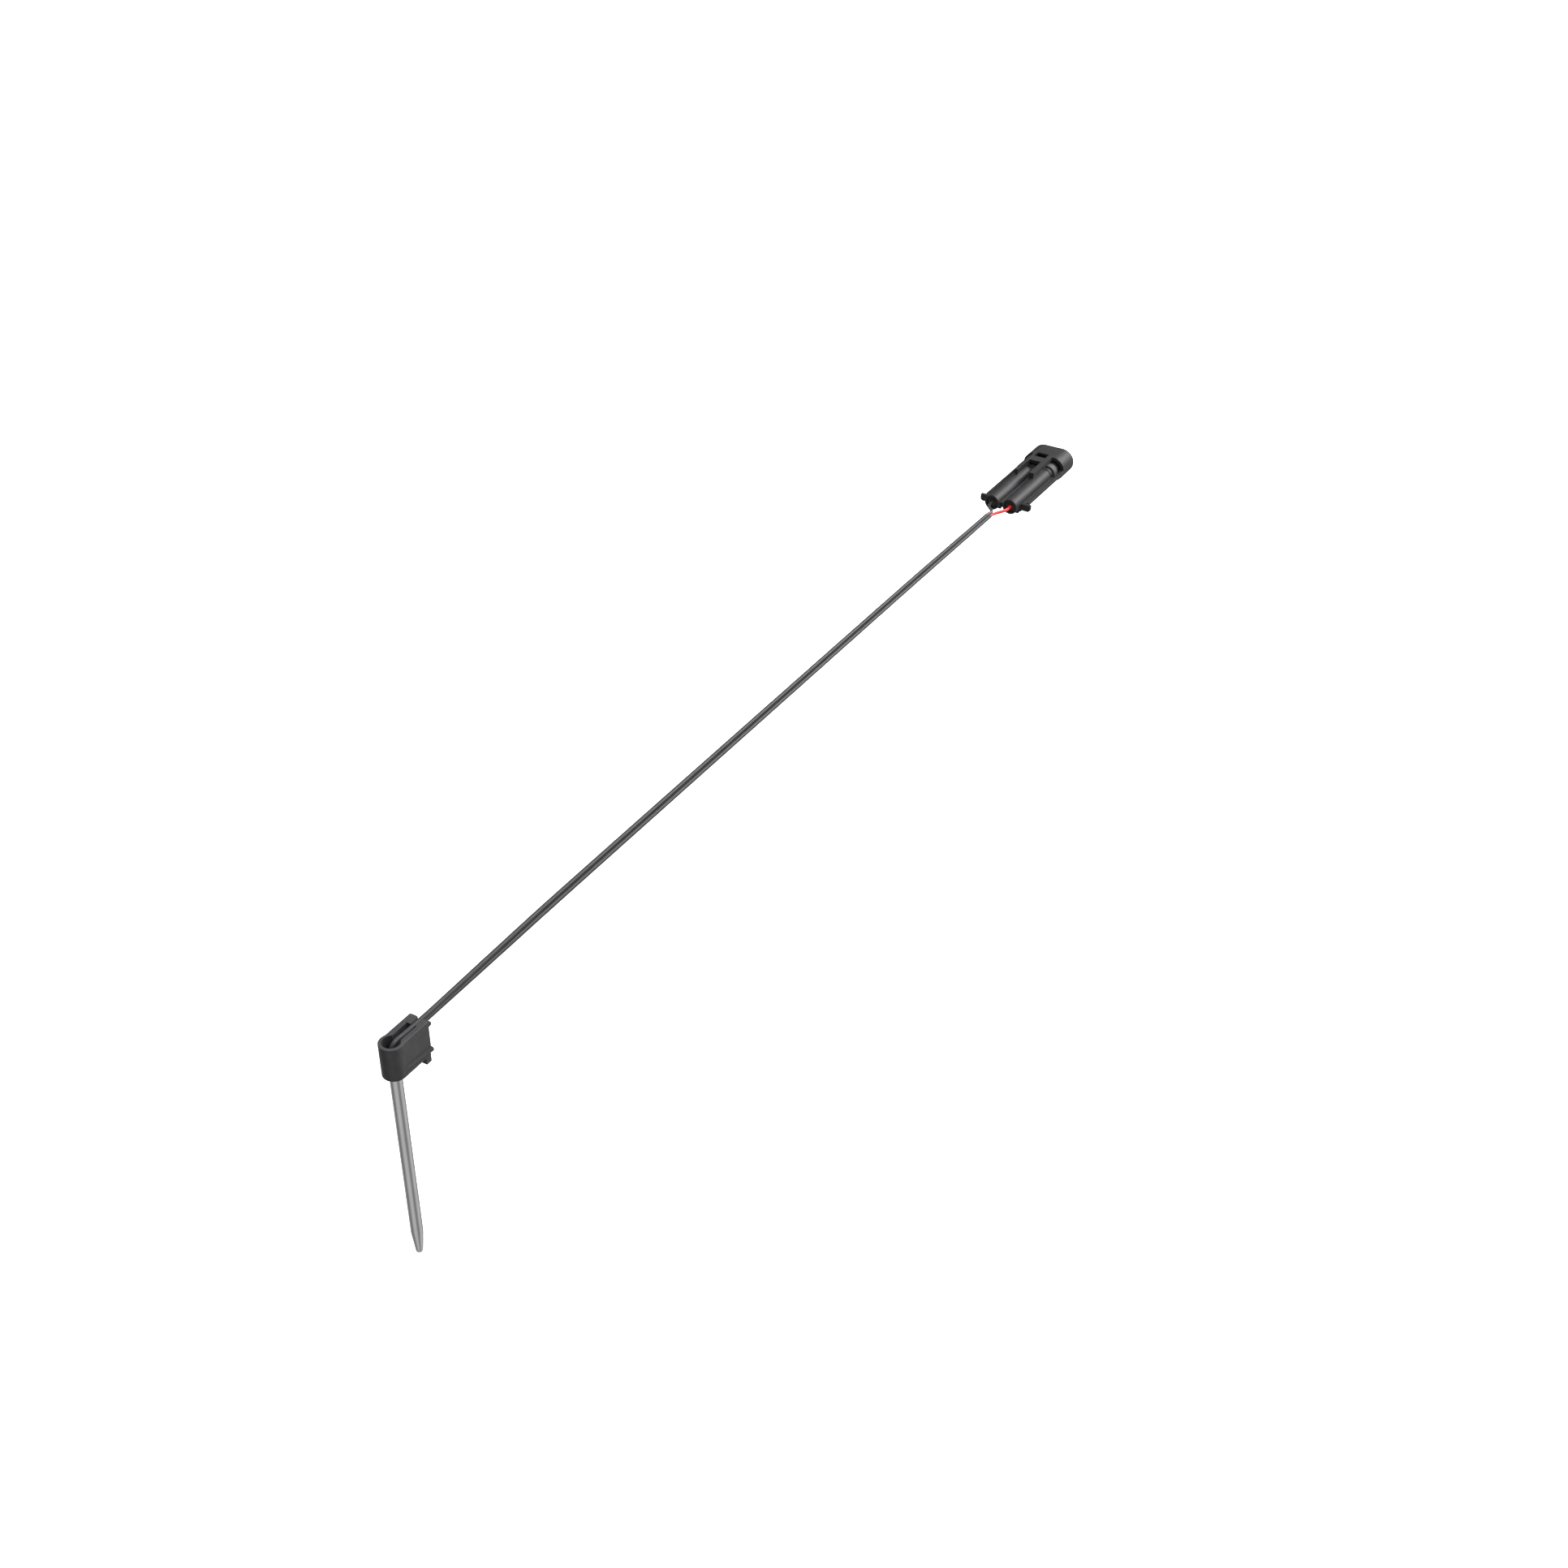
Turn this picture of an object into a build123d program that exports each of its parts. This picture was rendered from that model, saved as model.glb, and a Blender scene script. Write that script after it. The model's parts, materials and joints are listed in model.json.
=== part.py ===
from build123d import *
import math
import os

# Soil moisture sensor: metal stem, moulded clip-on holder, twin lead and sealed two-way connector.
# Frame: +Z up along the stem and +X along the lead. The origin is on the stem's axis at the
# holder's underside. All sizes are in millimetres.

# ---- Driving dimensions ----
# Stem: a tube closed and drawn down at its lower end, with a rolled flange at the top
STEM_R = 2.5
STEM_WALL = 0.4
STEM_LENGTH = 94.3            # below the holder's underside
TAPER_LENGTH = 11.0
TIP_R = 1.5
TIP_ROUND = 1.0
FLANGE_R = 3.2
FLANGE_T = 0.8
GROOVE_R = 2.3                # rolled groove that the holder's lip snaps into
GROOVE_TOP_Z = 1.0
TIP_FLOOR = 0.5               # height of the hollow's flat bottom over the start of the tip's round
SHOULDER = 0.3                # and of the hollow's shoulder over the start of the taper

# Holder: a round barrel over the stem's top, and two walls that lead the cores out to the rear
HOLDER_R = 5.0
HOLDER_HEIGHT = 15.1
HOLDER_REAR_X = 16.0
HOLDER_SIDE = 4.55            # half width over the flat walls
TOP_ROUND = 0.3
CUP_R = 3.65
CUP_FLOOR_Z = 6.5
SLOT_END_X = 11.7
SLOT_Y = (-2.4, 2.0)
POCKET_FRONT_X = 4.4
POCKET_FLOOR_Z = 1.8
THROAT_Y = (-1.85, 0.25)
THROAT_FLOOR_Z = 8.0
LIP_X = 17.6
LIP_SIDE = [(15.0, 15.1), (16.4, 15.1), (16.8, 14.4), (17.4, 14.1), (LIP_X, 13.2), (17.2, 12.5), (15.0, 12.3)]
RAIL_SIDE = [(1.0, 2.3), (1.0, 4.1), (16.2, 3.0), (16.9, 1.7), (16.9, 0.6), (15.6, 0.72)]
FOOT_SIDE = [(1.0, 0.0), (1.0, 2.0), (15.0, 0.45), (15.0, 0.0)]      # under a narrow groove below the rail
RAIL_HALF = 5.0
SKIRT_X = 15.4
SKIRT_Z = 0.7
TAB_X = (12.8, 15.6)
TAB_Z = (-3.9, 1.0)
TAB_HALF = 4.4
LEFT_CUT = [(14.8, 0.2), (16.4, 0.7), (17.0, 1.9), (20.0, 1.9), (20.0, 0.2)]

# Lead: two round cores side by side, which turn from upright in the holder to flat at the connector
CORE_D = 1.94
CORE_PITCH = 1.96
CORE_END_Z = -6.0             # where the sleeves stop inside the stem
WIRE_D = 1.6

# Insides of the stem
INNER_WIRE_D = 1.2
INNER_WIRE_END_Z = -60.0
STRAND_R = 0.35
CRIMP_Z = (-67.0, -61.0)
CRIMP_R = 0.7
SHRINK_Z = (-69.5, -58.5)
SHRINK_R = (0.74, 0.93)
LEG_D = 0.3
BEAD_Z = -87.5
BEAD_R = 0.8
BEAD_HALF = 1.3
POTTING_TOP_Z = -72.0
SEAL_Z = (-4.0, 6.9)
LEG_X = 0.35                  # where the legs leave the bead, either side of its axis
LEG_RISE = (0.5, 3.0, 9.0)    # heights over the bead's middle: in the glass, first and second bend
BARE_LENGTH = 2.5             # of strand inside the crimp
LEG_IN_CRIMP = 3.0

# Connector: two round tubes side by side behind an oval shroud. Its heights are measured from
# its own axis, at CONN_Z.
CONN_X = 511.0                # rear ends of the tubes
CONN_Z = 14.1
TUBE_PITCH = 10.6
TUBE_R = 4.2
TUBE_END_X = 554.0
SEAL_POCKET_R = 3.3
SEAL_POCKET_DEPTH = 10.0
CAVITY_R = 2.4
FLOOR_T = 1.0                 # floors at the feet of the tower and of the shroud
BLOCK_X = (553.0, 565.5)
BLOCK_R = 6.0
BLOCK_WALL = 1.0
SHROUD_X = (565.5, 578.8)
SHROUD_R = 7.0
SHROUD_WALL = 1.2
TOWER_X = (557.0, 573.0)
TOWER_R = 3.7
TOWER_BORE_R = 1.35
RING_X = (558.6, 562.4)
RING_R = 4.7

WEB_X = 512.5                 # rear end of the web between the tubes
WEB_HALF = 1.2
WEB_Z = (0.15, 0.5)
WEB_EDGE = (0.45, 0.95)       # half width and top of its raised edge
WING_X = 519.5
WING_HALF = 12.6
WING_Z = (-1.3, -0.3)
WING_EDGE = (1.1, 0.5)        # width and top of its raised edge
SPINE_Z = (-3.0, 0.2)         # the rib under the web, from the wings forward

# Latch channel on top: a rib on each tube, a bar across, and a window through to the hollow
RIB_X = (541.0, 567.0)
RIB_Z = (2.5, 7.4)
RIB_RIGHT_Y = (-4.9, -2.2)
RIB_LEFT_Y = (4.8, 6.2)
BAR_X = (557.2, 562.7)
BAR_Z = (5.2, 6.9)
CHANNEL_FLOOR_Z = 3.0
WINDOW_X = (562.7, 567.6)
WINDOW_FLOOR_Z = 4.4
SIDE_X = (553.0, 565.5)       # side window, from the end of the tube to the shroud
SIDE_Y = (-11.5, -5.0)
SIDE_FLOOR_Z = -0.3
SIDE_STEP_X = 554.4           # a step down from the tube to the tower, inside the window
SIDE_STEP_R = 3.2

# Secondary lock: a comb plate across the rear tubes, with an ear at each side
LOCK_X = (516.6, 518.6)
PLATE_HALF = 9.4
PLATE_Z = (-4.3, 0.0)
EAR_HALF = 14.8
EAR_Z = (-3.4, 0.4)
EAR_ROUND = 1.5
LOCK_GAP = 0.2
FINGER_HALF = 1.5
FINGER_END_X = 529.6
FINGER_Z = (-5.6, -4.6)
HOOK_TOP_Z = -3.2
HOOK_LENGTH = 2.0
HOOK_GAP = 0.3
HOOK_SLOT_X = (524.5, 530.4)
COMB_GAP_HALF = 1.0           # the notch over the web, between the tubes
COMB_GAP_Z = (-1.6, 1.0)
FOOT_HALF = 2.8               # the thicker foot that joins a finger to the plate

# Contacts and cable seals inside the rear tubes
GRIP_X = (523.4, 526.4)
GRIP_T = 0.35
CORE_GRIP_X = (527.6, 530.6)
CORE_GRIP_R = 0.95
BARE_R = 0.5
BARE_END_X = 531.0
STRIP_X = (523.4, 532.0)
STRIP_HALF = 0.6
STRIP_Z = (-1.15, -0.8)
BOX_X = (531.0, 545.0)
BOX_HALF = 1.3
BARREL_X = (545.0, 571.0)
BARREL_R = 1.2
SOCKET_X = 560.0
SOCKET_R = 0.75
CABLE_SEAL_X = (512.0, 520.4)
SEAL_GROOVE = 0.4
SEAL_RIBS_X = [(512.6, 514.0), (515.5, 516.9), (518.4, 519.8)]


# ---- Helpers ----
def block(x, y, z):
    """A box between two values on each axis."""
    size = [high - low for low, high in (x, y, z)]
    centre = [(high + low) / 2 for low, high in (x, y, z)]
    return Pos(*centre) * Box(*size)


def rod_z(radius, z, x=0.0, y=0.0):
    """An upright cylinder between two heights."""
    return Pos(x, y, (z[0] + z[1]) / 2) * Cylinder(radius, z[1] - z[0])


def section_x(x0):
    """The plane across the connector's axis at x0, with its own x along +Y and y along +Z."""
    return Plane(origin=(x0, 0, CONN_Z), x_dir=(0, 1, 0), z_dir=(1, 0, 0))


def rod_x(radius, x, y):
    """A cylinder along the connector's axis, at a side offset y."""
    return extrude(section_x(x[0]) * Pos(y, 0) * Circle(radius), amount=x[1] - x[0])


def oval_x(radius, x):
    """A solid oval along the connector's axis, whose ends are centred on the two tubes."""
    return extrude(section_x(x[0]) * SlotCenterToCenter(TUBE_PITCH, 2 * radius), amount=x[1] - x[0])


def conn_block(x, y, z):
    """A box whose heights are taken from the connector's axis."""
    return block(x, y, (CONN_Z + z[0], CONN_Z + z[1]))


def revolve_z(outline):
    """A closed outline of (radius, height) points turned about the stem's axis."""
    return revolve(Plane.XZ * make_face(Polyline(*outline, close=True)), Axis.Z)


def save(shape, node, colour):
    shape.label = node
    shape.color = Color(*colour)
    export_step(shape, f"parts/{node}.step")


def routed(points, diameter, tight=None):
    """A round cord along straight runs joined by tangent arcs.

    Each arc is as large as its two runs allow. tight caps the radius at chosen corners.
    """
    corners = [Vector(*p) for p in points]
    runs = [b - a for a, b in zip(corners, corners[1:])]
    radii = []
    for index, (before, after) in enumerate(zip(runs, runs[1:]), start=1):
        turn = math.radians(before.get_angle(after))
        radius = 0.45 * min(before.length, after.length) / math.tan(turn / 2)
        radii.append(min(radius, (tight or {}).get(index, radius)))
    path = FilletPolyline(*points, radius=radii)
    start = Plane(origin=path @ 0, z_dir=path % 0)
    return sweep(start * Circle(diameter / 2), path=path), path, radii


# ---- Routes ----
# Side, height and roll of the lead at chosen stations. The roll is the angle, from +Y up to +Z,
# of the line from the red core to the black one.
STATIONS = [
    (22.0, -0.80, 13.40, 90),
    (45.0, -0.66, 13.65, 78),
    (72.0, -0.42, 13.86, 62),
    (105.0, -0.10, 14.08, 45),
    (395.0, 0.00, 14.70, 36),
    (440.0, -0.02, 14.45, 22),
    (470.0, 0.00, 14.16, 8),
    (496.0, 0.00, 14.05, 0),
]


def lead_points(side):
    """The stations of one core: side is +1 for the black core and -1 for the red one."""
    points = []
    for x, y, z, roll in STATIONS:
        angle = math.radians(roll)
        reach = side * CORE_PITCH / 2
        points.append((x, y + reach * math.cos(angle), z + reach * math.sin(angle)))
    return points


# Up out of the stem and over into the holder's throat: the black core turns outside the red one
BLACK_TURN = [
    (-0.98, 0.00, CORE_END_Z),
    (-0.91, -0.05, 8.30),
    (-1.00, -0.12, 12.00),
    (1.20, -0.35, 14.34),
    (6.00, -0.72, 14.42),
    (13.50, -0.80, 14.39),
]
RED_TURN = [
    (0.98, 0.00, CORE_END_Z),
    (1.05, -0.05, 6.60),
    (0.96, -0.12, 10.20),
    (2.90, -0.38, 12.38),
    (7.00, -0.74, 12.46),
    (13.50, -0.80, 12.43),
]
CORE_ROUTES = {"black": BLACK_TURN + lead_points(+1), "red": RED_TURN + lead_points(-1)}

# From the ends of the sleeves into the connector's rear tubes
WIRE_END_X = 527.0
TUBE_Y = {"black": TUBE_PITCH / 2, "red": -TUBE_PITCH / 2}
WIRE_ROUTES = {
    "black": [
        (496.0, 0.98, 14.05),
        (498.0, 0.98, 14.05),
        (502.2, 0.35, 13.96),
        (506.0, 5.10, 14.00),
        (511.5, 5.55, 14.12),
        (519.0, 5.25, 14.10),
        (WIRE_END_X, 5.30, 14.10),
    ],
    "red": [
        (496.0, -0.98, 14.05),
        (499.4, -1.06, 14.03),
        (506.6, -5.62, 14.00),
        (512.6, -5.45, 14.12),
        (519.0, -5.25, 14.10),
        (WIRE_END_X, -5.30, 14.10),
    ],
}


# ---- Probe ----
def probe_tube():
    inner_r = STEM_R - STEM_WALL
    taper_z = TAPER_LENGTH - STEM_LENGTH
    round_z = TIP_ROUND - STEM_LENGTH
    top_z = CUP_FLOOR_Z + FLANGE_T
    with BuildSketch(Plane.XZ) as profile:
        with BuildLine():
            upper = Polyline(
                (0, round_z + TIP_FLOOR),
                (TIP_R - STEM_WALL, round_z + TIP_FLOOR),
                (inner_r, taper_z + SHOULDER),
                (inner_r, top_z),
                (FLANGE_R, top_z),
                (FLANGE_R, CUP_FLOOR_Z),
                (STEM_R, CUP_FLOOR_Z),
                (STEM_R, GROOVE_TOP_Z),
                (GROOVE_R, GROOVE_TOP_Z),
                (GROOVE_R, 0),
                (STEM_R, 0),
                (STEM_R, taper_z),
                (TIP_R, round_z),
            )
            tip = CenterArc((TIP_R - TIP_ROUND, round_z), TIP_ROUND, 0, -90)
            Polyline(tip @ 1, (0, -STEM_LENGTH), upper @ 0)
        make_face()
    return revolve(profile.sketch, Axis.Z)


def bead_leg(side):
    """One of the bead's two leads, up from the glass into its crimp."""
    points = [
        (LEG_X * side, 0, BEAD_Z + LEG_RISE[0]),
        (LEG_X * side, 0, BEAD_Z + LEG_RISE[1]),
        (CORE_PITCH / 2 * side, 0, BEAD_Z + LEG_RISE[2]),
        (CORE_PITCH / 2 * side, 0, CRIMP_Z[1] - LEG_IN_CRIMP),
    ]
    return routed(points, LEG_D, tight={1: 3.0, 2: 3.0})[0]


def sensing_bead(legs):
    with BuildSketch(Plane.XZ) as profile:
        Ellipse(BEAD_R, BEAD_HALF)
        split(bisect_by=Plane.YZ)
    return Pos(0, 0, BEAD_Z) * revolve(profile.sketch, Axis.Z) - legs[0] - legs[1]


def tip_potting(bead, legs):
    inner_r = STEM_R - STEM_WALL
    bottom_z = TIP_ROUND - STEM_LENGTH + TIP_FLOOR
    fill = revolve_z([
        (0, bottom_z),
        (TIP_R - STEM_WALL, bottom_z),
        (inner_r, TAPER_LENGTH - STEM_LENGTH + SHOULDER),
        (inner_r, POTTING_TOP_Z),
        (0, POTTING_TOP_Z),
    ])
    return fill - bead - legs[0] - legs[1]


def inner_wire(side):
    x = side * CORE_PITCH / 2
    insulation = rod_z(INNER_WIRE_D / 2, (INNER_WIRE_END_Z, CORE_END_Z), x)
    return insulation + rod_z(STRAND_R, (CRIMP_Z[1] - BARE_LENGTH, INNER_WIRE_END_Z), x)


def splice_crimp(side):
    x = side * CORE_PITCH / 2
    return rod_z(CRIMP_R, CRIMP_Z, x) - rod_z(STRAND_R, CRIMP_Z, x)


def splice_sleeve(side):
    x = side * CORE_PITCH / 2
    return rod_z(SHRINK_R[1], SHRINK_Z, x) - rod_z(SHRINK_R[0], SHRINK_Z, x)


def top_seal(sleeves):
    return rod_z(STEM_R - STEM_WALL, SEAL_Z) - sleeves[0] - sleeves[1]


# ---- Holder ----
def side_profile(outline, half):
    """A closed outline of (x, z) points, given the same half width to both sides."""
    return extrude(Plane.XZ * make_face(Polyline(*outline, close=True)), amount=half, both=True)


def holder():
    body = rod_z(HOLDER_R, (0, HOLDER_HEIGHT))
    body += block((0, HOLDER_REAR_X), (-HOLDER_SIDE, HOLDER_SIDE), (0, HOLDER_HEIGHT))
    body -= block((SKIRT_X, LIP_X), (-HOLDER_R, HOLDER_R), (-1, SKIRT_Z))
    body += side_profile(LIP_SIDE, HOLDER_SIDE)
    body += side_profile(RAIL_SIDE, RAIL_HALF) + side_profile(FOOT_SIDE, RAIL_HALF)
    body += block(TAB_X, (-TAB_HALF, TAB_HALF), TAB_Z)
    top = body.faces().sort_by(Axis.Z)[-1]
    body = fillet(top.edges(), TOP_ROUND)
    # The hollow: stem bore, round cup, deep pocket, and the slot and throat that the cores lie in
    above = HOLDER_HEIGHT + 1
    body -= rod_z(STEM_R, (GROOVE_TOP_Z, CUP_FLOOR_Z + 1))
    body -= rod_z(GROOVE_R, (-1, GROOVE_TOP_Z))
    body -= rod_z(CUP_R, (CUP_FLOOR_Z, above))
    body -= block((0, SLOT_END_X), SLOT_Y, (CUP_FLOOR_Z, above))
    body -= block((POCKET_FRONT_X, SLOT_END_X), SLOT_Y, (POCKET_FLOOR_Z, above))
    body -= block((SLOT_END_X - 1, LIP_X + 1), THROAT_Y, (THROAT_FLOOR_Z, above))
    # The left wall's rear end is cut back towards the throat
    return body - extrude(make_face(Polyline(*LEFT_CUT, close=True)), amount=above)


# ---- Connector ----
def connector_housing():
    sides = (-TUBE_PITCH / 2, TUBE_PITCH / 2)
    body = oval_x(BLOCK_R, BLOCK_X) + oval_x(SHROUD_R, SHROUD_X)
    for y in sides:
        body += rod_x(TUBE_R, (CONN_X, TUBE_END_X), y)
    # Web between the tubes, and a thin wing with a raised edge on each side
    body += conn_block((WEB_X, TUBE_END_X), (-WEB_HALF, WEB_HALF), WEB_Z)
    body += conn_block((WEB_X, TUBE_END_X), (-WEB_EDGE[0], WEB_EDGE[0]), (WEB_Z[0], WEB_EDGE[1]))
    body += conn_block((WING_X, TUBE_END_X), (-WEB_HALF, WEB_HALF), SPINE_Z)
    body += conn_block((WING_X, SHROUD_X[0]), (-WING_HALF, WING_HALF), WING_Z)
    for y in (-WING_HALF, WING_HALF - WING_EDGE[0]):
        body += conn_block((WING_X, SHROUD_X[0]), (y, y + WING_EDGE[0]), (WING_Z[0], WING_EDGE[1]))
    for y in (RIB_RIGHT_Y, RIB_LEFT_Y):
        body += conn_block(RIB_X, y, RIB_Z)
    above = SHROUD_R + 2
    channel_y = (RIB_RIGHT_Y[1], RIB_LEFT_Y[0])
    body -= conn_block((BLOCK_X[0], BAR_X[0]), channel_y, (CHANNEL_FLOOR_Z, above))
    body += conn_block(BAR_X, channel_y, BAR_Z)
    # The hollow inside the block and the shroud. The tower that stands in it comes after the window.
    step_x = SHROUD_X[0] + FLOOR_T
    body -= oval_x(SHROUD_R - SHROUD_WALL, (step_x, SHROUD_X[1]))
    body -= oval_x(BLOCK_R - BLOCK_WALL, (TOWER_X[0], step_x))
    # The side window, which also bares a step down from the tube to the tower
    kept = oval_x(TUBE_R, (SIDE_X[0], SIDE_STEP_X)) + oval_x(SIDE_STEP_R, (SIDE_STEP_X, SIDE_X[1]))
    body -= conn_block(SIDE_X, SIDE_Y, (SIDE_FLOOR_Z, above)) - kept
    body += oval_x(TOWER_R, (TOWER_X[0] - FLOOR_T, TOWER_X[1]))
    # The latch window between the ribs
    body -= conn_block(WINDOW_X, channel_y, (WINDOW_FLOOR_Z, above))
    for y in sides:
        body -= rod_x(SEAL_POCKET_R, (CONN_X, CONN_X + SEAL_POCKET_DEPTH), y)
        body -= rod_x(CAVITY_R, (CONN_X, TOWER_X[0] + FLOOR_T), y)
        body -= rod_x(TOWER_BORE_R, (CONN_X, TOWER_X[1]), y)
        # Slot under the tube for the lock's hooked finger
        slot_half = FINGER_HALF + HOOK_GAP
        body -= conn_block(HOOK_SLOT_X, (y - slot_half, y + slot_half), (FINGER_Z[0], HOOK_TOP_Z + HOOK_GAP))
    return body


def secondary_lock():
    """A comb plate with an ear at each side, and a hooked finger under each tube."""
    ears = conn_block(LOCK_X, (-EAR_HALF, EAR_HALF), EAR_Z)
    corners = ears.edges().filter_by(Axis.X).group_by(Axis.Z)[0]
    plate = fillet(corners, EAR_ROUND) + conn_block(LOCK_X, (-PLATE_HALF, PLATE_HALF), PLATE_Z)
    plate -= conn_block(LOCK_X, (-COMB_GAP_HALF, COMB_GAP_HALF), COMB_GAP_Z)
    hook_x = (FINGER_END_X - HOOK_LENGTH, FINGER_END_X)
    for y in (-TUBE_PITCH / 2, TUBE_PITCH / 2):
        plate += conn_block(LOCK_X, (y - FOOT_HALF, y + FOOT_HALF), (FINGER_Z[0], PLATE_Z[0] + LOCK_GAP))
        plate -= rod_x(TUBE_R + LOCK_GAP, (LOCK_X[0] - 1, LOCK_X[1] + 1), y)
        finger_y = (y - FINGER_HALF, y + FINGER_HALF)
        plate += conn_block((LOCK_X[0], FINGER_END_X), finger_y, FINGER_Z)
        plate += conn_block(hook_x, finger_y, (FINGER_Z[0], HOOK_TOP_Z))
    return plate


def cable_seal(y):
    """A ribbed rubber seal between the wire and the tube's bore."""
    body = rod_x(SEAL_POCKET_R - SEAL_GROOVE, CABLE_SEAL_X, y)
    for rib_x in SEAL_RIBS_X:
        body += rod_x(SEAL_POCKET_R, rib_x, y)
    return body


def terminal(y):
    """A crimped socket contact: insulation grip, core grip, box and round barrel."""
    contact = rod_x(WIRE_D / 2 + GRIP_T, GRIP_X, y) + rod_x(CORE_GRIP_R, CORE_GRIP_X, y)
    contact += conn_block(STRIP_X, (y - STRIP_HALF, y + STRIP_HALF), STRIP_Z)
    contact += conn_block(BOX_X, (y - BOX_HALF, y + BOX_HALF), (-BOX_HALF, BOX_HALF))
    contact += rod_x(BARREL_R, BARREL_X, y)
    contact -= rod_x(SOCKET_R, (SOCKET_X, BARREL_X[1]), y)
    return contact - rod_x(WIRE_D / 2, (GRIP_X[0], WIRE_END_X), y) - strand(y)


def strand(y):
    """The bared end of the wire, inside the core grip."""
    return rod_x(BARE_R, (WIRE_END_X, BARE_END_X), y)


def shroud_seal():
    """A ring seal round the foot of the tower."""
    return oval_x(RING_R, RING_X) - oval_x(TOWER_R, RING_X)


# ---- Build ----
BLACK = (0.07, 0.07, 0.075)
GREY = (0.16, 0.16, 0.17)
METAL = (0.72, 0.72, 0.74)
RED = (0.75, 0.05, 0.05)
COPPER = (0.75, 0.42, 0.22)
AMBER = (0.55, 0.38, 0.15)
WIRE_COLOURS = {"black": BLACK, "red": RED}
SIDES = {"black": -1, "red": +1}


def report_cord(name, solid, path, radii, diameter):
    expected = math.pi * diameter ** 2 / 4 * path.length
    print(f"{name}: length {path.length:.2f}, volume ratio {solid.volume / expected:.5f}")
    print("  arc radii", [round(radius, 1) for radius in radii])


def main():
    os.makedirs("parts", exist_ok=True)
    sleeves = []
    for name, points in CORE_ROUTES.items():
        solid, path, radii = routed(points, CORE_D, tight={2: 3.0, 3: 3.0})
        report_cord(f"lead_sleeve_{name}", solid, path, radii, CORE_D)
        save(solid, f"lead_sleeve_{name}", GREY)
        sleeves.append(solid)

    save(probe_tube(), "probe_tube", METAL)
    legs = [bead_leg(side) for side in SIDES.values()]
    bead = sensing_bead(legs)
    save(bead, "sensing_bead", AMBER)
    save(tip_potting(bead, legs), "tip_potting", AMBER)
    save(top_seal(sleeves), "top_seal", BLACK)
    save(holder(), "holder", BLACK)
    for leg, (name, side) in zip(legs, SIDES.items()):
        save(leg, f"bead_leg_{name}", METAL)
        save(inner_wire(side), f"inner_wire_{name}", WIRE_COLOURS[name])
        save(splice_crimp(side), f"splice_crimp_{name}", METAL)
        save(splice_sleeve(side), f"splice_sleeve_{name}", GREY)

    save(connector_housing(), "connector_housing", BLACK)
    save(secondary_lock(), "secondary_lock", BLACK)
    save(shroud_seal(), "shroud_seal", GREY)
    for name, points in WIRE_ROUTES.items():
        wire, path, radii = routed(points, WIRE_D)
        report_cord(f"wire_{name}", wire, path, radii, WIRE_D)
        save(wire, f"wire_{name}", WIRE_COLOURS[name])
        save(cable_seal(TUBE_Y[name]) - wire, f"cable_seal_{name}", GREY)
        save(terminal(TUBE_Y[name]) - wire, f"terminal_{name}", METAL)
        save(strand(TUBE_Y[name]), f"strand_{name}", COPPER)


main()
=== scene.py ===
import json
import math

import bmesh
import bpy
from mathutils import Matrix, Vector


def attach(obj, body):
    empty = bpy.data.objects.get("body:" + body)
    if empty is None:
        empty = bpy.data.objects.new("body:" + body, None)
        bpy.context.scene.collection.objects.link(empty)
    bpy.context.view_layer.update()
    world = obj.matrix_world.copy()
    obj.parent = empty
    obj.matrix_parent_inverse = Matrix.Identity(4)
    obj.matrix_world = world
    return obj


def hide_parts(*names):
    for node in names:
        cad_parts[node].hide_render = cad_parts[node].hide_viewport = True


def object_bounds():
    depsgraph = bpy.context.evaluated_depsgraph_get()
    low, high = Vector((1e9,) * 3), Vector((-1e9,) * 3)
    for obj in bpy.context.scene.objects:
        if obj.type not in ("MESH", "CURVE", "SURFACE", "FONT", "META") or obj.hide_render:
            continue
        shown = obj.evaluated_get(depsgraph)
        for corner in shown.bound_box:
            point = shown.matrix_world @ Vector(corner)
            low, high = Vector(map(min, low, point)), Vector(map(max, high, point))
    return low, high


# Looks of the soil moisture sensor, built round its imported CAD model. Blender works in metres;
# lengths written in millimetres are multiplied by MM.
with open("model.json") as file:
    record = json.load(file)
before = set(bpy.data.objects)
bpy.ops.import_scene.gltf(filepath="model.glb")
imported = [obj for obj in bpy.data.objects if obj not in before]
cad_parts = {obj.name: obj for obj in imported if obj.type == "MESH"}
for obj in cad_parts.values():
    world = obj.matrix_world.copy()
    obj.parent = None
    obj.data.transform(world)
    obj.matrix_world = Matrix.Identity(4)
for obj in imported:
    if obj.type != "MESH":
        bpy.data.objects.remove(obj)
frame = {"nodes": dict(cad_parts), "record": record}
cad_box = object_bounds()
NODES = frame["nodes"]
MM = 0.001


# ---- Camera ----
CAMERA_PLACE = (-0.4318, -0.4258, 0.5299)   # metres
CAMERA_AZIMUTH = -59.199      # degrees of turn about the vertical
CAMERA_ELEVATION = 34.187     # degrees that it looks down by
CAMERA_LENS = 48.446          # millimetres, as is the sensor's width
CAMERA_SENSOR = 36
CAMERA_NEAREST = 0.01         # metres, as is the farthest
CAMERA_FARTHEST = 50


def make_camera():
    data = bpy.data.cameras.new("camera")
    data.lens = CAMERA_LENS
    data.sensor_width = CAMERA_SENSOR
    data.clip_start = CAMERA_NEAREST
    data.clip_end = CAMERA_FARTHEST
    camera = bpy.data.objects.new("camera", data)
    camera.location = CAMERA_PLACE
    tilt = math.radians(90 - CAMERA_ELEVATION)
    camera.rotation_euler = (tilt, 0, math.radians(CAMERA_AZIMUTH))
    bpy.context.scene.collection.objects.link(camera)
    bpy.context.scene.camera = camera


make_camera()


# ---- Node trees ----
def grey(value):
    return (value, value, value, 1)


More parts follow.
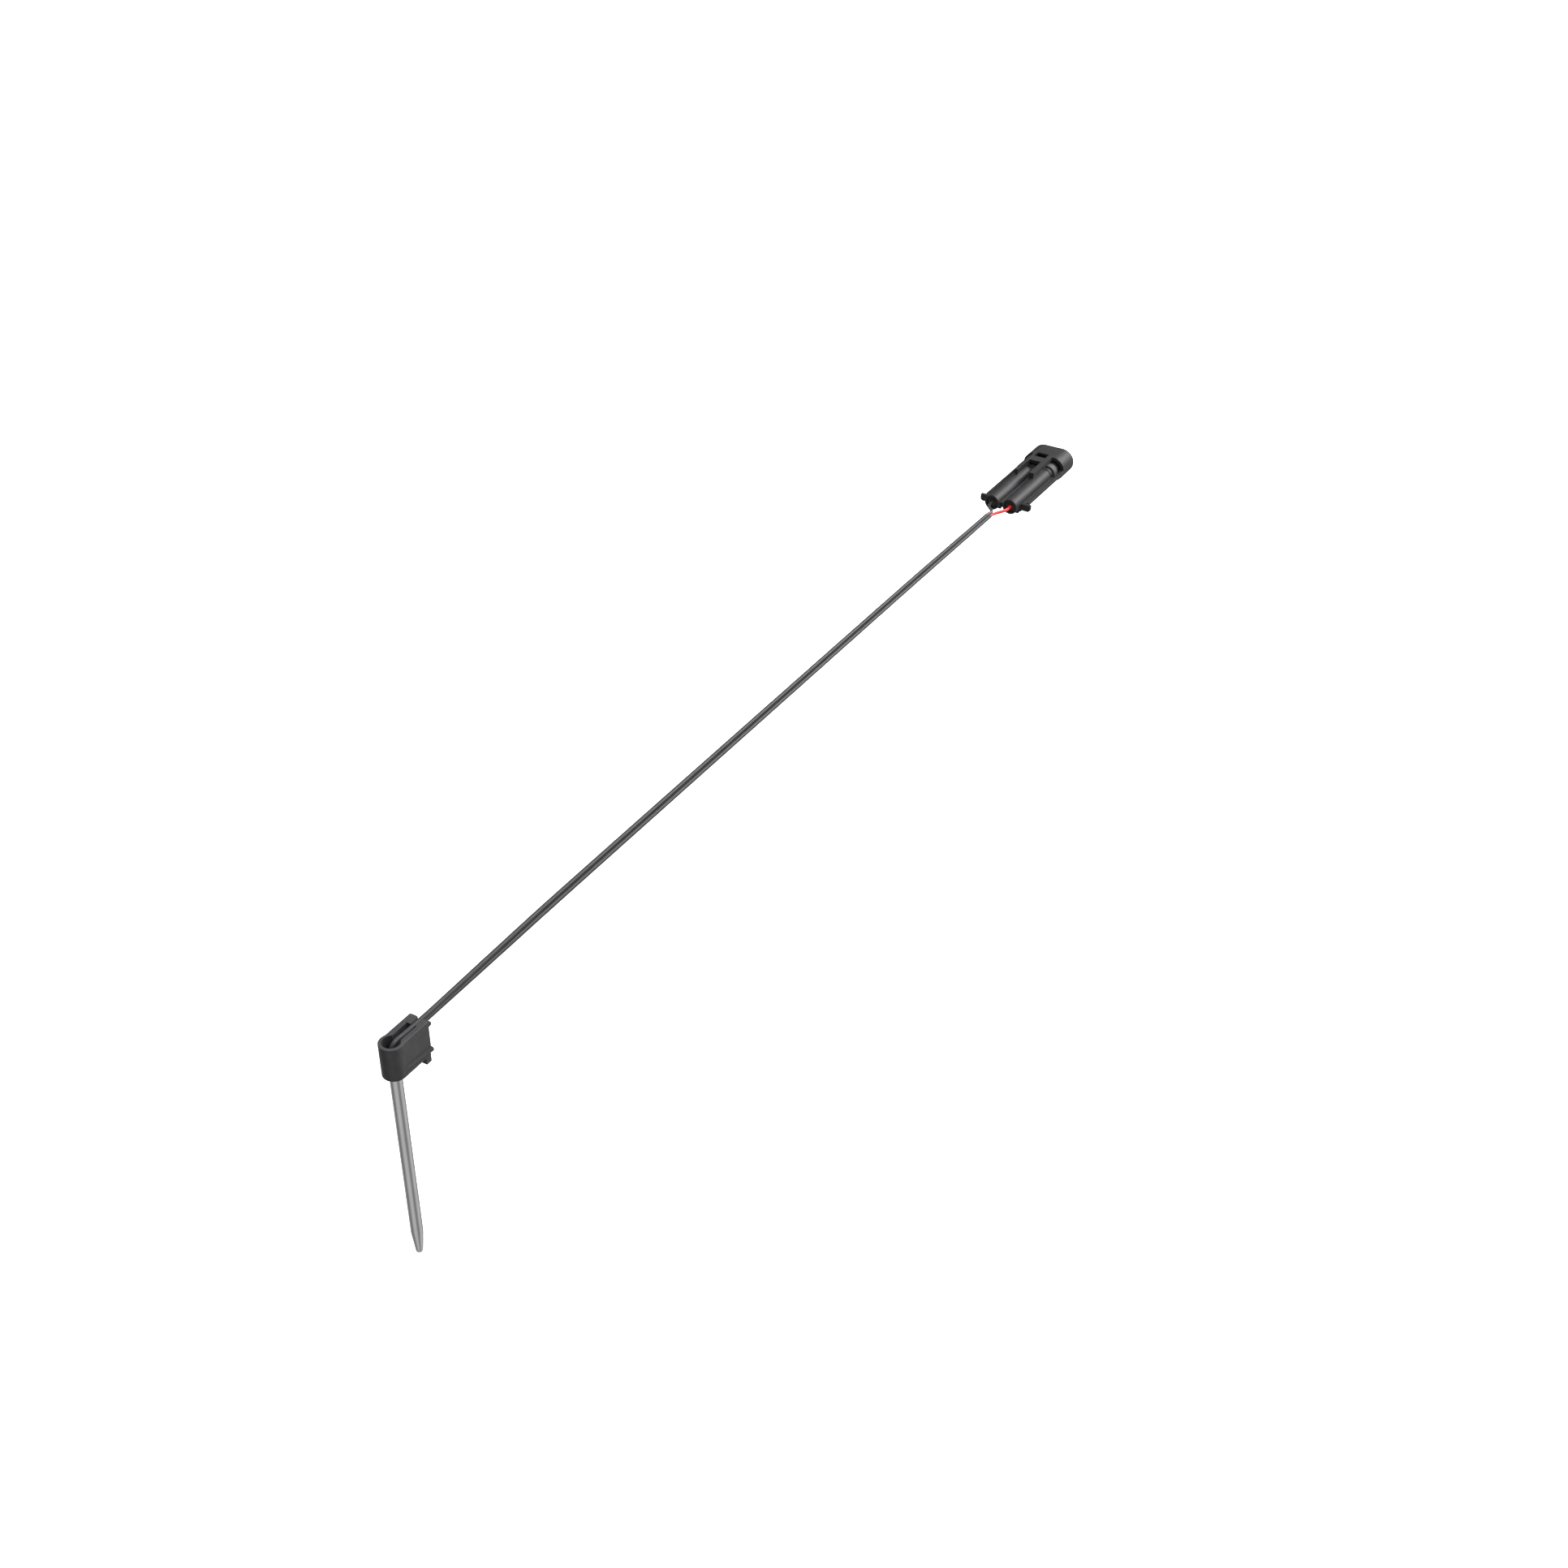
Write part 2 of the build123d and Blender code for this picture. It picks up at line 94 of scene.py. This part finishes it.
def shade(colour, factor):
    """A darker or lighter shade of a colour, with its alpha."""
    return (*(channel * factor for channel in colour), 1)


class Graph:
    """A node tree, with short ways to add nodes and join them."""

    def __init__(self, tree):
        self.nodes = tree.nodes
        self.links = tree.links

    def feed(self, socket, value):
        """Gives a socket either another node's output or a value of its own."""
        if isinstance(value, bpy.types.NodeSocket):
            self.links.new(value, socket)
        else:
            socket.default_value = value

    def between(self, value, low, high, start=0.3, end=0.7):
        """value from start to end, turned into a number from low to high."""
        node = self.nodes.new("ShaderNodeMapRange")
        node.inputs["From Min"].default_value = start
        node.inputs["From Max"].default_value = end
        node.inputs["To Min"].default_value = low
        node.inputs["To Max"].default_value = high
        self.feed(node.inputs["Value"], value)
        return node.outputs["Result"]

    def mix(self, value, first, second):
        """A colour from first to second as value goes from 0 to 1."""
        node = self.nodes.new("ShaderNodeMix")
        node.data_type = "RGBA"
        self.feed(node.inputs["Factor"], value)
        ends = [socket for socket in node.inputs if socket.type == "RGBA"]
        for socket, colour in zip(ends, (first, second)):
            self.feed(socket, colour)
        return next(socket for socket in node.outputs if socket.type == "RGBA")

    def ramp(self, value, stops):
        """A grey picked by value from (position, grey) stops."""
        node = self.nodes.new("ShaderNodeValToRGB")
        elements = node.color_ramp.elements
        elements[0].position, elements[1].position = stops[0][0], stops[-1][0]
        for position, _ in stops[1:-1]:
            elements.new(position)
        for element, (_, level) in zip(elements, stops):
            element.color = grey(level)
        self.feed(node.inputs["Fac"], value)
        return node.outputs["Color"]


# ---- Materials ----
class Recipe(Graph):
    """A material under construction."""

    def __init__(self, name):
        self.material = bpy.data.materials.new(name)
        self.material.use_nodes = True
        super().__init__(self.material.node_tree)
        self.shader = self.nodes["Principled BSDF"]
        self.place = self.nodes.new("ShaderNodeTexCoord").outputs["Object"]

    def set(self, **values):
        """Feeds the shader's sockets, named with _ where their names have a space."""
        for socket, value in values.items():
            self.feed(self.shader.inputs[socket.replace("_", " ")], value)

    def noise(self, scale, detail=2.0, roughness=0.5, stretch=(1, 1, 1)):
        """A noise value from 0 to 1. scale is in features per metre."""
        mapping = self.nodes.new("ShaderNodeMapping")
        mapping.inputs["Scale"].default_value = stretch
        self.feed(mapping.inputs["Vector"], self.place)
        texture = self.nodes.new("ShaderNodeTexNoise")
        texture.inputs["Scale"].default_value = scale
        texture.inputs["Detail"].default_value = detail
        texture.inputs["Roughness"].default_value = roughness
        self.feed(texture.inputs["Vector"], mapping.outputs["Vector"])
        return texture.outputs["Fac"]

    def tint(self, pattern, colour, darkest, lightest=1.0):
        """Lets the base colour drift between two shades of one colour."""
        drift = self.between(pattern, 0, 1)
        self.set(Base_Color=self.mix(drift, shade(colour, darkest), shade(colour, lightest)))

    def polish(self, pattern, glossiest, dullest):
        """Lets the roughness drift between two values."""
        self.set(Roughness=self.between(pattern, glossiest, dullest))

    def bump(self, height, strength, depth):
        """Adds a bump on top of the ones already there. depth is in millimetres."""
        node = self.nodes.new("ShaderNodeBump")
        node.inputs["Strength"].default_value = strength
        node.inputs["Distance"].default_value = depth * MM
        self.feed(node.inputs["Height"], height)
        normal = self.shader.inputs["Normal"]
        if normal.links:
            self.feed(node.inputs["Normal"], normal.links[0].from_socket)
        self.feed(normal, node.outputs["Normal"])


def moulded_plastic(name, colour, roughness, grain=0.25, shine=0.5):
    """Moulded nylon: fine grain, slow flow marks and a faint change of tone."""
    recipe = Recipe(name)
    recipe.tint(recipe.noise(220, detail=3), colour, darkest=0.85, lightest=1.2)
    recipe.polish(recipe.noise(900, detail=4), roughness - 0.05, roughness + 0.07)
    fine_grain = recipe.noise(7000, detail=3, roughness=0.6)
    recipe.bump(fine_grain, strength=grain, depth=0.02)
    flow_marks = recipe.noise(260, stretch=(0.35, 1, 1))
    recipe.bump(flow_marks, strength=0.25, depth=0.03)
    recipe.set(Specular_IOR_Level=shine)
    return recipe.material


def drawn_steel(name, colour):
    """Drawn and lightly polished steel: fine lines along the stem and a few softer bands."""
    recipe = Recipe(name)
    lines = recipe.noise(5200, detail=4, roughness=0.6, stretch=(1, 1, 0.02))
    bands = recipe.noise(150, stretch=(1, 1, 0.5))
    recipe.tint(bands, colour, darkest=0.93)
    recipe.polish(lines, 0.25, 0.36)
    recipe.bump(lines, strength=0.35, depth=0.006)
    recipe.set(Metallic=1.0)
    return recipe.material


def extruded(name, colour, roughness, shine=0.5):
    """Extruded insulation: a soft skin with faint waves along the core."""
    recipe = Recipe(name)
    recipe.tint(recipe.noise(160, detail=3), colour, darkest=0.86, lightest=1.12)
    recipe.polish(recipe.noise(1500, detail=3), roughness - 0.05, roughness + 0.06)
    waves = recipe.noise(420, stretch=(0.3, 1, 1))
    recipe.bump(waves, strength=0.3, depth=0.03)
    recipe.set(Specular_IOR_Level=shine)
    return recipe.material


def silicone(name, colour):
    """Soft dull rubber with a fine grain."""
    recipe = Recipe(name)
    recipe.tint(recipe.noise(500), colour, darkest=0.8, lightest=1.15)
    recipe.polish(recipe.noise(2500, detail=3), 0.5, 0.66)
    recipe.bump(recipe.noise(5200), strength=0.2, depth=0.02)
    return recipe.material


def plated_metal(name, colour, roughness):
    """Rolled or drawn metal: faint lines along X and an uneven gloss."""
    recipe = Recipe(name)
    recipe.tint(recipe.noise(900, detail=3), colour, darkest=0.85)
    recipe.polish(recipe.noise(2600, detail=3), roughness - 0.06, roughness + 0.08)
    lines = recipe.noise(5200, stretch=(0.2, 1, 1))
    recipe.bump(lines, strength=0.2, depth=0.01)
    recipe.set(Metallic=1.0)
    return recipe.material


def cast_resin(name, colour):
    """Clear resin or glass with an uneven tint."""
    recipe = Recipe(name)
    recipe.tint(recipe.noise(700), colour, darkest=0.7)
    recipe.polish(recipe.noise(1800), 0.15, 0.3)
    recipe.set(Transmission_Weight=0.25)
    return recipe.material


# For each material slot: its recipe, its colour and what the recipe is told beside it
FINISHES = {
    "stem_steel": (drawn_steel, (0.62, 0.62, 0.63), {}),
    "holder_plastic": (moulded_plastic, (0.030, 0.030, 0.032), dict(roughness=0.50)),
    "housing_plastic": (
        moulded_plastic, (0.015, 0.015, 0.016), dict(roughness=0.48, grain=0.18, shine=0.42)
    ),
    "lock_plastic": (
        moulded_plastic, (0.012, 0.012, 0.013), dict(roughness=0.46, grain=0.2, shine=0.35)
    ),
    "sleeve_pvc": (extruded, (0.036, 0.036, 0.038), dict(roughness=0.40, shine=0.33)),
    "black_insulation": (extruded, (0.045, 0.045, 0.047), dict(roughness=0.2, shine=0.6)),
    "red_insulation": (extruded, (0.70, 0.018, 0.020), dict(roughness=0.30)),
    "shrink_sleeve": (extruded, (0.04, 0.04, 0.042), dict(roughness=0.5)),
    "tinned_contact": (plated_metal, (0.72, 0.70, 0.66), dict(roughness=0.3)),
    "leg_wire": (plated_metal, (0.68, 0.66, 0.60), dict(roughness=0.28)),
    "bead_glass": (cast_resin, (0.50, 0.28, 0.10), {}),
    "resin": (cast_resin, (0.16, 0.11, 0.06), {}),
    "seal_rubber": (silicone, (0.010, 0.010, 0.010), {}),
    "ring_rubber": (silicone, (0.050, 0.050, 0.050), {}),
    "bare_copper": (plated_metal, (0.80, 0.42, 0.24), dict(roughness=0.3)),
}
MATERIALS = {
    name: recipe(name, colour, **options) for name, (recipe, colour, options) in FINISHES.items()
}


def slot_of(node):
    """The record's material slot of a CAD node."""
    rows = frame["record"]["subparts"]
    return next(row["material_slot"] for row in rows if row["node"] == node)


def paint(piece, slot):
    piece.data.materials.clear()
    piece.data.materials.append(MATERIALS[slot])


for node, piece in NODES.items():
    paint(piece, slot_of(node))


# ---- Cords ----
# All lengths here are in millimetres.
CORE_D = 1.94
CORE_PITCH = 1.96
SLEEVE_PRESS = 1.02           # the sleeves swell to this much of their diameter, and so touch
CORD_STEPS = 16               # along each stretch
CORD_ROUNDNESS = 12           # the extra corners in each quarter of a cord's section
# x, y, z of the lead's middle line and its roll in degrees. The roll is the angle, from +Y up to
# +Z, of the line from the red core to the black one.
STATIONS = [
    (22.0, -0.80, 13.40, 90),
    (45.0, -0.66, 13.65, 78),
    (72.0, -0.42, 13.86, 62),
    (105.0, -0.10, 14.08, 45),
    (395.0, 0.00, 14.70, 36),
    (440.0, -0.02, 14.45, 22),
    (470.0, 0.00, 14.16, 8),
    (496.0, 0.00, 14.05, 0),
]
# x, y, z of each core from inside the stem, over the turn and into the holder's slot
TURNS = {
    "black": [
        (-0.98, 0.00, -6.00),
        (-0.91, -0.05, 8.30),
        (-1.00, -0.12, 12.00),
        (1.20, -0.35, 14.34),
        (6.00, -0.72, 14.42),
        (13.50, -0.80, 14.39),
    ],
    "red": [
        (0.98, 0.00, -6.00),
        (1.05, -0.05, 6.60),
        (0.96, -0.12, 10.20),
        (2.90, -0.38, 12.38),
        (7.00, -0.74, 12.46),
        (13.50, -0.80, 12.43),
    ],
}
# x, y, z of each thin wire from the lead's end to its contact
WIRE_D = 1.6
WIRES = {
    "black": [
        (496.0, 0.98, 14.05),
        (498.0, 0.98, 14.05),
        (502.2, 0.35, 13.96),
        (506.0, 5.10, 14.00),
        (511.5, 5.55, 14.12),
        (519.0, 5.25, 14.10),
        (527.0, 5.30, 14.10),
    ],
    "red": [
        (496.0, -0.98, 14.05),
        (499.4, -1.06, 14.03),
        (506.6, -5.62, 14.00),
        (512.6, -5.45, 14.12),
        (519.0, -5.25, 14.10),
        (527.0, -5.30, 14.10),
    ],
}


def lead_points(side):
    """The straight part of one core: side is +1 for the black core and -1 for the red one."""
    points = []
    for x, y, z, roll in STATIONS:
        angle = math.radians(roll)
        reach = side * CORE_PITCH / 2
        points.append((x, y + reach * math.cos(angle), z + reach * math.sin(angle)))
    return points


def cord_curve(node, points, diameter, press=1.0):
    """A smooth cord that follows a route's points, in place of the CAD's tube.

    press is how much of its diameter it swells to, pressed against its neighbour.
    """
    data = bpy.data.curves.new(node + "_curve", "CURVE")
    data.dimensions = "3D"
    spline = data.splines.new("NURBS")
    spline.points.add(len(points) - 1)
    for point, place in zip(spline.points, points):
        point.co = (*(Vector(place) * MM), 1)
    spline.order_u = 3
    spline.use_endpoint_u = True
    data.bevel_depth = diameter / 2 * press * MM
    data.bevel_resolution = CORD_ROUNDNESS
    data.resolution_u = CORD_STEPS
    data.use_fill_caps = True
    curve = bpy.data.objects.new(node + "_curve", data)
    bpy.context.scene.collection.objects.link(curve)
    paint(curve, slot_of(node))
    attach(curve, "probe")
    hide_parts(node)
    return curve


# ---- Pieces made in mesh code ----
SHARP_ANGLE = math.radians(35)   # edges that bend more stay sharp, or get a radius
FLAT_ANGLE = math.radians(0.5)   # faces that bend less are joined into one
WELD = 0.001                     # millimetres, as is every length in this section
EDGE_RADIUS = {"holder": 0.2, "connector_housing": 0.1, "secondary_lock": 0.12}
EDGE_SEGMENTS = 3
CORNER_STEPS = 5                 # over each rounded corner of the stem's section
TURN_STEPS = 96                  # round the stem
TURN_WELD = 0.0005               # closes the section's two ends on the axis


def add_piece(name, mesh, node, body):
    """Adds a mesh that stands for a CAD node and takes its finish."""
    piece = bpy.data.objects.new(name, mesh)
    bpy.context.scene.collection.objects.link(piece)
    paint(piece, slot_of(node))
    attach(piece, body)
    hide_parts(node)
    return piece


def rounded_copy(node, body, clamped=False):
    """A CAD piece again, with its small moulded edge radius.

    clamped narrows all of its radii to the widest that never overlap.
    """
    work = bmesh.new()
    work.from_mesh(NODES[node].data)
    bmesh.ops.remove_doubles(work, verts=work.verts, dist=WELD * MM)
    bmesh.ops.dissolve_limit(
        work, angle_limit=FLAT_ANGLE, verts=work.verts, edges=work.edges
    )
    mesh = bpy.data.meshes.new(node + "_skin")
    work.to_mesh(mesh)
    work.free()
    if "custom_normal" in mesh.attributes:
        mesh.attributes.remove(mesh.attributes["custom_normal"])
    mesh.shade_smooth()
    mesh.set_sharp_from_angle(angle=SHARP_ANGLE)
    piece = add_piece(node + "_skin", mesh, node, body)
    bevel = piece.modifiers.new("edge radius", "BEVEL")
    bevel.width = EDGE_RADIUS[node] * MM
    bevel.segments = EDGE_SEGMENTS
    bevel.limit_method = "ANGLE"
    bevel.angle_limit = SHARP_ANGLE
    bevel.use_clamp_overlap = clamped
    bevel.harden_normals = True
    return piece


def softened(corners):
    """An outline of (radius, height) points, from corners with a cut length to round over."""
    outline = []
    for index, (radius, height, cut) in enumerate(corners):
        corner = Vector((radius, height))
        if not cut:
            outline.append(corner)
            continue
        before = Vector(corners[index - 1][:2]) - corner
        after = Vector(corners[(index + 1) % len(corners)][:2]) - corner
        start, end = corner + before.normalized() * cut, corner + after.normalized() * cut
        for step in range(CORNER_STEPS + 1):
            part = step / CORNER_STEPS
            bend = start * (1 - part) ** 2 + corner * 2 * part * (1 - part) + end * part ** 2
            outline.append(bend)
    return outline


def turned(name, corners):
    """A closed outline turned about the stem's axis."""
    outline = softened(corners)
    work = bmesh.new()
    rings = []
    for step in range(TURN_STEPS):
        angle = 2 * math.pi * step / TURN_STEPS
        along = Vector((math.cos(angle), math.sin(angle), 0))
        places = [along * point.x + Vector((0, 0, point.y)) for point in outline]
        rings.append([work.verts.new(place * MM) for place in places])
    for ring, following in zip(rings, rings[1:] + rings[:1]):
        for index in range(len(outline)):
            below = index - 1
            work.faces.new((ring[below], following[below], following[index], ring[index]))
    bmesh.ops.remove_doubles(work, verts=work.verts, dist=TURN_WELD * MM)
    bmesh.ops.recalc_face_normals(work, faces=work.faces)
    mesh = bpy.data.meshes.new(name)
    work.to_mesh(mesh)
    work.free()
    mesh.shade_smooth()
    mesh.set_sharp_from_angle(angle=SHARP_ANGLE)
    return mesh


# The stem's section as (radius, height, cut length) corners: up the bore, round the flange and
# down past the groove to the tip
STEM_CORNERS = [
    (0.0, -92.8, 0),
    (1.1, -92.8, 0),
    (2.1, -83.0, 0),
    (2.1, 7.3, 0.15),
    (3.2, 7.3, 0.2),
    (3.2, 6.5, 0.2),
    (2.5, 6.5, 0.1),
    (2.5, 1.0, 0.08),
    (2.3, 1.0, 0.06),
    (2.3, 0.0, 0.06),
    (2.5, 0.0, 0.15),
    (2.5, -83.3, 1.2),
    (1.4, -94.3, 1.1),
    (0.0, -94.3, 0),
]
add_piece("probe_tube_skin", turned("probe_tube_skin", STEM_CORNERS), "probe_tube", "probe")

rounded_copy("holder", "probe", clamped=True)
housing = rounded_copy("connector_housing", "probe")
lock = rounded_copy("secondary_lock", "lock")

for side, sign in (("black", 1), ("red", -1)):
    node = f"lead_sleeve_{side}"
    sleeve = cord_curve(node, TURNS[side] + lead_points(sign), CORE_D, SLEEVE_PRESS)
    node = f"wire_{side}"
    wire = cord_curve(node, WIRES[side], WIRE_D)


# ---- Studio ----
# Lengths here are in metres.
STAGE_X = 0.3                 # about the middle of the object's length
FLOOR_Z = -0.2
FLOOR_SIZE = 12.0
FLOOR_SQUARES = 8
FLOOR_GREYS = (0.90, 0.92)
FLOOR_GLOW = 0.6              # keeps the floor as white as the dome out to its edges
DOME_R = 7.0
DOME_SEGMENTS = 48
DOME_RINGS = 24


def stage_object(name, work, material, **visibility):
    """A floor or backdrop, with the kinds of ray that don't see it."""
    data = bpy.data.meshes.new(name)
    work.to_mesh(data)
    work.free()
    data.materials.append(material)
    thing = bpy.data.objects.new(name, data)
    for kind, seen in visibility.items():
        setattr(thing, "visible_" + kind, seen)
    bpy.context.scene.collection.objects.link(thing)


def make_floor():
    """A plain white floor, which the object neither mirrors nor takes light from."""
    recipe = Recipe("floor")
    drift = recipe.between(recipe.noise(3), 0, 1)
    recipe.set(Base_Color=recipe.mix(drift, *(grey(level) for level in FLOOR_GREYS)))
    recipe.set(Roughness=0.9, Emission_Color=grey(1), Emission_Strength=FLOOR_GLOW)
    work = bmesh.new()
    bmesh.ops.create_grid(
        work, x_segments=FLOOR_SQUARES, y_segments=FLOOR_SQUARES, size=FLOOR_SIZE / 2
    )
    bmesh.ops.translate(work, verts=work.verts, vec=(STAGE_X, 0, FLOOR_Z))
    stage_object("floor", work, recipe.material, glossy=False, diffuse=False)


def make_backdrop():
    """A white dome behind everything: it fills the view and lights nothing."""
    recipe = Recipe("backdrop")
    recipe.set(Base_Color=grey(0), Emission_Color=grey(1), Emission_Strength=1.0)
    work = bmesh.new()
    bmesh.ops.create_uvsphere(
        work, u_segments=DOME_SEGMENTS, v_segments=DOME_RINGS, radius=DOME_R
    )
    bmesh.ops.translate(work, verts=work.verts, vec=(STAGE_X, 0, 0))
    stage_object("backdrop", work, recipe.material, glossy=False, diffuse=False, shadow=False)


def area_light(name, direction, distance, size, power):
    """A square soft light that faces the middle of the object from the given direction."""
    middle = (cad_box[0] + cad_box[1]) / 2
    away = Vector(direction).normalized()
    data = bpy.data.lights.new(name, "AREA")
    data.shape = "SQUARE"
    data.size = size
    data.energy = power
    light = bpy.data.objects.new(name, data)
    light.location = middle + away * distance
    light.rotation_euler = away.to_track_quat("Z", "Y").to_euler()
    bpy.context.scene.collection.objects.link(light)


# Greys of the walls by height, from straight down at 0 to straight up at 1
WALL_STOPS = [(0.0, 0.2), (0.5, 0.10), (0.62, 0.12), (0.8, 0.5), (1.0, 0.8)]
# How far the panels take the walls' place, by height
PANEL_SHARE_STOPS = [(0.0, 1.0), (0.46, 1.0), (0.54, 0.0), (1.0, 0.0)]
# Greys of the panels, by compass angle from -X through -Y, +X and +Y
PANEL_STOPS = [
    (0.0, 0.66),
    (0.054, 0.76),
    (0.118, 0.66),
    (0.16, 0.38),
    (0.20, 0.20),
    (0.245, 0.36),
    (0.30, 0.72),
    (0.36, 0.80),
    (0.442, 0.52),
    (0.50, 0.18),
    (0.585, 0.06),
    (0.66, 0.30),
    (0.73, 0.74),
    (0.785, 0.60),
    (0.83, 0.28),
    (0.881, 0.16),
    (0.937, 0.38),
    (1.0, 0.66),
]


def make_world():
    """The studio's walls, which light the object and show in its reflections: bright above, dark
    at the sides, and a ring of lighter and darker panels below."""
    world = bpy.data.worlds.new("studio")
    world.use_nodes = True
    graph = Graph(world.node_tree)
    split = graph.nodes.new("ShaderNodeSeparateXYZ")
    place = graph.nodes.new("ShaderNodeTexCoord").outputs["Generated"]
    graph.feed(split.inputs["Vector"], place)
    height = graph.between(split.outputs["Z"], 0, 1, start=-1, end=1)
    turn = graph.nodes.new("ShaderNodeMath")
    turn.operation = "ARCTAN2"
    graph.feed(turn.inputs[0], split.outputs["Y"])
    graph.feed(turn.inputs[1], split.outputs["X"])
    compass = graph.between(turn.outputs["Value"], 0, 1, start=-math.pi, end=math.pi)
    walls = graph.ramp(height, WALL_STOPS)
    panels = graph.ramp(compass, PANEL_STOPS)
    share = graph.ramp(height, PANEL_SHARE_STOPS)
    background = graph.nodes["Background"]
    graph.feed(background.inputs["Color"], graph.mix(share, walls, panels))
    graph.feed(background.inputs["Strength"], 1.0)
    bpy.context.scene.world = world


make_floor()
make_backdrop()
make_world()
area_light("key", direction=(-0.1, -0.62, 0.75), distance=1.6, size=0.9, power=15)
area_light("top", direction=(0.1, 0.1, 1.0), distance=1.8, size=1.6, power=15)
area_light("rim", direction=(0.71, -0.42, 0.56), distance=1.3, size=0.9, power=17)
bpy.context.scene.view_settings.view_transform = "Standard"
